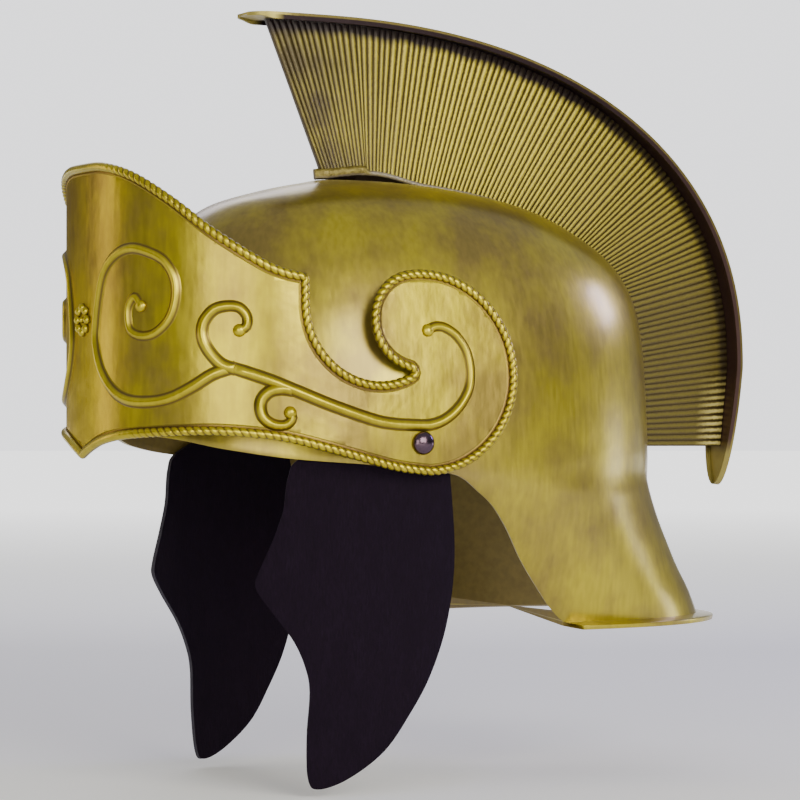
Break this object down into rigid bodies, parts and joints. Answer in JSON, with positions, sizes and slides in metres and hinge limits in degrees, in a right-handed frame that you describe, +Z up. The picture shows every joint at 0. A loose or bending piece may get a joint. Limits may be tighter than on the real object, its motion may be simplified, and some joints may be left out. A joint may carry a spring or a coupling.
{
  "type": "roman officer helmet",
  "caption": "Gold costume helmet in the Roman officer's style: bowl with neck guard, turning scrolled visor, tall fluted crest and dark soft cheek flaps.",
  "frame": {"origin": "inside top of the bowl's crown, on the middle plane, where the helmet rests on a head", "axes": "+Z up, -Y forward toward the visor, +X toward the wearer's left"},
  "size_m": [0.1868, 0.3561, 0.3564],
  "materials": {
    "bowl_gold": "satin gold paint on moulded plastic, faintly brushed downward, with soft darker patches",
    "visor_gold": "satin gold paint on moulded plastic, slightly lighter than the bowl",
    "comb_gold": "satin gold paint, olive brown in the flutes",
    "cap_gold": "satin gold paint, dark purple-brown on the underside",
    "foot_gold": "satin gold paint, greyer along the strip",
    "rivet_chrome_left": "bright plated metal",
    "rivet_chrome_right": "bright plated metal",
    "flap_cloth_left": "blue-black felted cloth with a fine upright fibre",
    "flap_cloth_right": "blue-black felted cloth with a fine upright fibre"
  },
  "bodies": {
    "helmet": {"bowl": "bowl_gold", "crest_comb": "comb_gold", "crest_cap": "cap_gold", "crest_foot": "foot_gold", "rivet_left": "rivet_chrome_left", "rivet_right": "rivet_chrome_right", "cheek_flap_left": "flap_cloth_left", "cheek_flap_right": "flap_cloth_right"},
    "visor": {"visor": "visor_gold"}
  },
  "joints": [
    {"name": "visor_pivot", "type": "hinge", "parent": "helmet", "child": "visor", "pos_m": [0, 0.0034, -0.1216], "axis": [-1, 0, 0], "range_deg": [-8, 14]}
  ]
}
